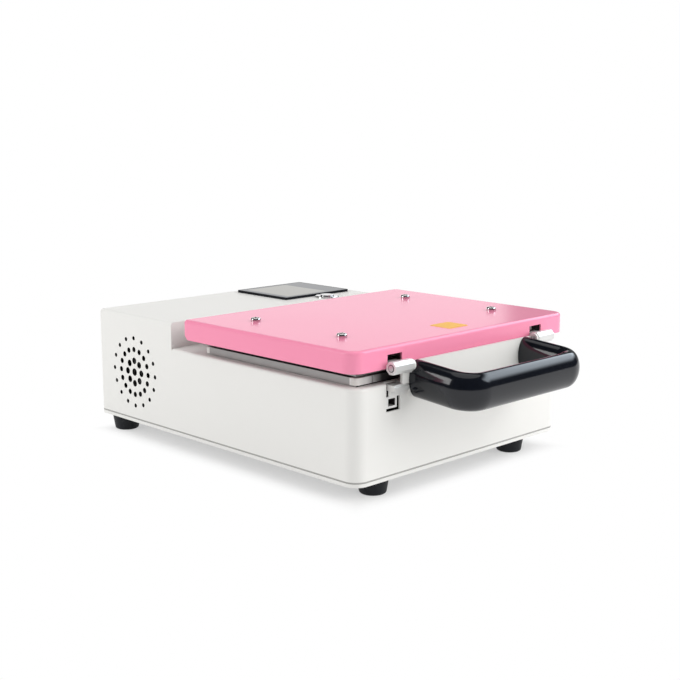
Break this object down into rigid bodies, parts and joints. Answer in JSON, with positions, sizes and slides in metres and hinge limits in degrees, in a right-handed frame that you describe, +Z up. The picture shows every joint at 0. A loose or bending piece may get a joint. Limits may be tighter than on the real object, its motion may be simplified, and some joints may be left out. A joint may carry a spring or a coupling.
{
  "type": "reflow oven",
  "caption": "Low bench-top reflow oven: white steel case with a heated platen, hinged pink lid, U-shaped black latch grip, side fan grille, flat display and push button.",
  "frame": {"origin": "under the middle of the whole outline, on the floor the feet stand on", "axes": "+Z up, +Y from the grip at the front to the mains inlet at the back, +X to the right seen from the front"},
  "size_m": [0.229, 0.353, 0.1075],
  "materials": {
    "white_paint": "smooth satin white powder coat",
    "pink_paint": "smooth satin pink powder coat",
    "stainless": "fine brushed stainless steel",
    "zinc": "bright zinc-plated steel",
    "bright": "polished nickel-plated",
    "black_rubber": "matt moulded rubber",
    "white_silicone": "matt white silicone",
    "red_silicone": "matt silicone heater mat",
    "black_gloss": "glossy moulded phenolic",
    "black_plastic": "fine matt moulded plastic",
    "platen_metal": "milled aluminium",
    "board_green": "solder-masked circuit board",
    "terminal_green": "moulded terminal plastic",
    "insulation": "pressed mineral fibre",
    "screen_glass": "smooth clear cover over a pale screen",
    "brass_blade": "smooth brass"
  },
  "bodies": {
    "case": {"base_plate": "white_paint", "base_screws": "zinc", "board_capacitors": "black_plastic", "board_standoffs": "zinc", "bracket_screws": "zinc", "button_barrel": "bright", "button_block": "black_plastic", "button_nut": "zinc", "case_shell": "white_paint", "chamber_rim": "stainless", "chamber_tub": "stainless", "control_board": "board_green", "display_board": "board_green", "display_frame": "black_plastic", "display_glass": "screen_glass", "display_module": "black_plastic", "fan_frame": "black_plastic", "fan_nuts": "zinc", "fan_studs": "zinc", "foot_nuts": "zinc", "foot_screws": "zinc", "heated_platen": "platen_metal", "hinge_bracket_left": "zinc", "hinge_bracket_right": "zinc", "hinge_pins": "zinc", "inlet_blades": "brass_blade", "inlet_screws": "zinc", "latch_keeper_left": "stainless", "latch_keeper_right": "stainless", "lower_heater": "red_silicone", "lower_insulation": "insulation", "mains_inlet": "black_plastic", "platen_standoffs": "zinc", "rim_corner_pieces": "white_silicone", "rim_seal": "white_silicone", "rubber_feet": "black_rubber", "solid_state_relay": "black_plastic", "terminal_block": "terminal_green", "thermocouple_probe": "stainless"},
    "lid": {"lid_shell": "pink_paint", "lid_screws": "bright", "lid_spacers": "zinc", "heater_carrier": "stainless", "upper_pan": "stainless", "upper_heater": "red_silicone", "upper_insulation": "insulation", "leaf_screws": "zinc", "hinge_leaf_left": "zinc", "hinge_leaf_right": "zinc", "latch_bracket_left": "bright", "latch_bracket_right": "bright", "latch_pins": "zinc"},
    "handle": {"handle_plate": "white_paint", "handle_grip": "black_gloss", "grip_screws": "zinc", "latch_hook_left": "bright", "latch_hook_right": "bright"},
    "button": {"button_cap": "bright"},
    "rotor": {"fan_rotor": "black_plastic"}
  },
  "joints": [
    {"name": "lid_hinge", "type": "hinge", "parent": "case", "child": "lid", "pos_m": [0, 0.06604, 0.096], "axis": [-1, 0, 0], "range_deg": [0, 95]},
    {"name": "handle_hinge", "type": "hinge", "parent": "lid", "child": "handle", "pos_m": [0, -0.12596, 0.0915], "axis": [-1, 0, 0], "range_deg": [0, 70]},
    {"name": "button_push", "type": "slide", "parent": "case", "child": "button", "axis": [0, 0, -1], "range_m": [0, 0.0015], "stiffness_N_per_m": 600},
    {"name": "fan_spin", "type": "hinge", "parent": "case", "child": "rotor", "pos_m": [-0.1, 0.12664, 0.054], "axis": [1, 0, 0], "continuous": true}
  ]
}
